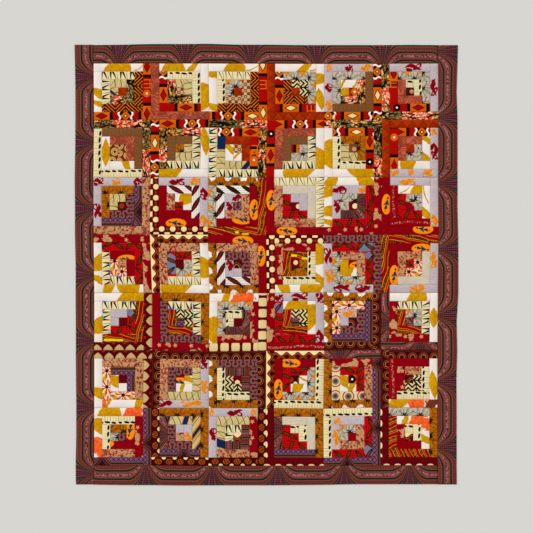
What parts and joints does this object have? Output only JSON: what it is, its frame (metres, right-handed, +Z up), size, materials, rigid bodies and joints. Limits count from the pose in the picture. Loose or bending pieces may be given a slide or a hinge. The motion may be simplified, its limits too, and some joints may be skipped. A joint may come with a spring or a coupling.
{
  "type": "patchwork quilt",
  "caption": "Log-cabin patchwork quilt with a printed border, laid out flat as a bed cover or throw.",
  "frame": {"origin": "centre of the quilt's underside, on the surface that it lies on", "axes": "+Z up out of the patchwork face, +Y towards the head edge, +X towards the right-hand side strip"},
  "size_m": [1.7812, 2.05, 0.0067],
  "materials": {
    "patchwork_cotton": "matt plain-woven printed cotton in many prints: ivory, gold, orange, crimson and maroon",
    "border_cotton": "matt plain-woven printed cotton, rose brown with dark green and lilac bands"
  },
  "bodies": {
    "root": {"block_row_1": "patchwork_cotton", "block_row_2": "patchwork_cotton", "block_row_3": "patchwork_cotton", "block_row_4": "patchwork_cotton", "block_row_5": "patchwork_cotton", "block_row_6": "patchwork_cotton", "block_row_7": "patchwork_cotton", "border_left": "border_cotton", "border_right": "border_cotton", "border_head": "border_cotton", "border_foot": "border_cotton"}
  },
  "joints": []
}
